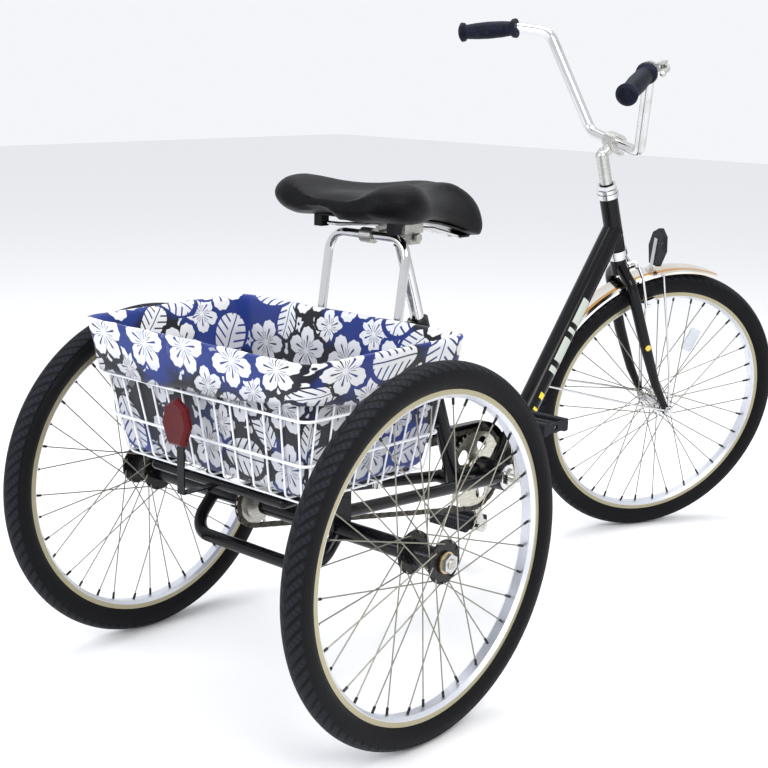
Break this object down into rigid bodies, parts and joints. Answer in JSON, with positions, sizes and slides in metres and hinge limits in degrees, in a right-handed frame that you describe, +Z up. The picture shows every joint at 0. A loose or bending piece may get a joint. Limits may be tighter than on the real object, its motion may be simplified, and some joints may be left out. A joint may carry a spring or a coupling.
{
  "type": "adult tricycle",
  "caption": "Pedal tricycle with steered front wheel, live rear axle under a cloth-lined wire basket, broad saddle on post and strut, swept-back handlebar and chain drive",
  "frame": {"origin": "on the ground under the centre of the bounding box", "axes": "+X forward, +Y to the rider's left, +Z up"},
  "size_m": [1.7171, 0.7606, 1.1177],
  "materials": {
    "frame_paint": "gloss black paint",
    "chrome": "bright chrome plate",
    "satin_aluminium": "satin",
    "steel": "zinc plated",
    "chain_steel": "dark oiled",
    "rim_steel": "bright plated",
    "spoke_steel": "galvanised",
    "hub_black": "gloss black",
    "tyre": "moulded rubber",
    "white_wire": "white coated wire",
    "printed_cloth": "printed cotton, pale flowers on dark ground",
    "saddle_vinyl": "grained black vinyl",
    "grip_rubber": "dark blue-black",
    "pedal_plastic": "black",
    "red_reflector": "dark red prismatic",
    "clear_reflector": "clear prismatic"
  },
  "bodies": {
    "frame": {"head_tube": "frame_paint", "down_tube": "frame_paint", "bottom_bracket_shell": "frame_paint", "bottom_bracket_cups": "chrome", "seat_tube": "frame_paint", "seat_collar": "frame_paint", "chain_stays": "frame_paint", "axle_housing": "frame_paint", "axle_bearings": "steel", "bumper_loop": "frame_paint", "basket_support": "frame_paint", "headset_cups": "chrome", "chain": "chain_steel", "chain_guard": "frame_paint", "wire_basket": "white_wire", "basket_liner": "printed_cloth", "rear_reflector": "red_reflector", "rear_reflector_bracket": "hub_black"},
    "seat": {"seat_post": "chrome", "saddle": "saddle_vinyl", "saddle_pan": "frame_paint", "saddle_rails": "chrome", "saddle_clamp": "steel"},
    "strut": {"seat_strut": "chrome"},
    "drive_axle": {"rear_axle": "steel", "rear_sprocket": "steel", "axle_nuts": "steel", "left_tyre": "tyre", "left_rim": "rim_steel", "left_spokes": "spoke_steel", "left_hub": "hub_black"},
    "right_wheel": {"right_tyre": "tyre", "right_rim": "rim_steel", "right_spokes": "spoke_steel", "right_hub": "hub_black"},
    "crankset": {"crank": "chrome", "chainring": "steel"},
    "right_pedal_body": {"right_pedal": "pedal_plastic"},
    "left_pedal_body": {"left_pedal": "pedal_plastic"},
    "steering": {"fork": "frame_paint", "front_axle": "chrome", "headset_nuts": "chrome", "stem": "satin_aluminium", "handlebar": "chrome", "right_grip": "grip_rubber", "left_grip": "grip_rubber", "front_fender": "chrome", "fender_stays": "chrome", "front_reflector": "clear_reflector", "front_reflector_bracket": "chrome", "brake_bolt": "chrome", "brake_perch": "satin_aluminium"},
    "front_wheel": {"front_tyre": "tyre", "front_rim": "rim_steel", "front_spokes": "spoke_steel", "front_hub": "chrome", "front_wheel_reflector": "clear_reflector"},
    "lever": {"brake_lever": "satin_aluminium"},
    "left_arm": {"brake_arm_left": "chrome"},
    "right_arm": {"brake_arm_right": "chrome"}
  },
  "joints": [
    {"name": "steering", "type": "hinge", "parent": "frame", "child": "steering", "pos_m": [0.40093, 0, 0.70801], "axis": [-0.342, 0, 0.9397], "range_deg": [-32.5, 87.5]},
    {"name": "front_wheel_spin", "type": "hinge", "parent": "steering", "child": "front_wheel", "pos_m": [0.5861, -0.01732, 0.29652], "axis": [0.4339, 0.887, 0.1579], "continuous": true},
    {"name": "axle_spin", "type": "hinge", "parent": "frame", "child": "drive_axle", "pos_m": [-0.55866, 0, 0.3], "axis": [0, 1, 0], "continuous": true},
    {"name": "right_wheel_spin", "type": "hinge", "parent": "drive_axle", "child": "right_wheel", "pos_m": [-0.55866, -0.333, 0.3], "axis": [0, 1, 0], "continuous": true},
    {"name": "crank_spin", "type": "hinge", "parent": "frame", "child": "crankset", "pos_m": [0.03324, 0, 0.238], "axis": [0, 1, 0], "continuous": true},
    {"name": "right_pedal_spin", "type": "hinge", "parent": "crankset", "child": "right_pedal_body", "pos_m": [-0.02761, -0.137, 0.37729], "axis": [0, 1, 0], "continuous": true},
    {"name": "left_pedal_spin", "type": "hinge", "parent": "crankset", "child": "left_pedal_body", "pos_m": [0.09409, 0.137, 0.09871], "axis": [0, 1, 0], "continuous": true},
    {"name": "seat_height", "type": "slide", "parent": "frame", "child": "seat", "axis": [-0.342, 0, 0.9397], "range_m": [-0.03, 0.03]},
    {"name": "strut_swing", "type": "hinge", "parent": "seat", "child": "strut", "pos_m": [-0.34366, 0, 0.737], "axis": [0, 1, 0], "range_deg": [-3, 3]},
    {"name": "brake_lever", "type": "hinge", "parent": "steering", "child": "lever", "pos_m": [0.1872, -0.23133, 1.02773], "axis": [0.2549, -0.1657, -0.9527], "range_deg": [0, 13], "stiffness_Nm_per_rad": 0.6, "springref_deg": -5.73},
    {"name": "left_brake_arm", "type": "hinge", "parent": "steering", "child": "left_arm", "pos_m": [0.45806, -0.01062, 0.61068], "axis": [-0.8335, 0.4617, -0.3034], "range_deg": [0, 1]},
    {"name": "right_brake_arm", "type": "hinge", "parent": "steering", "child": "right_arm", "pos_m": [0.46473, -0.01431, 0.61311], "axis": [0.8335, -0.4617, 0.3034], "range_deg": [0, 1]}
  ],
  "couplings": [
    {"joint": "crank_spin", "follows": "axle_spin", "ratio": 0.5},
    {"joint": "strut_swing", "follows": "seat_height", "rad_per_m": -1.3045},
    {"joint": "left_brake_arm", "follows": "brake_lever", "ratio": 0.07685},
    {"joint": "right_brake_arm", "follows": "brake_lever", "ratio": 0.07685}
  ]
}
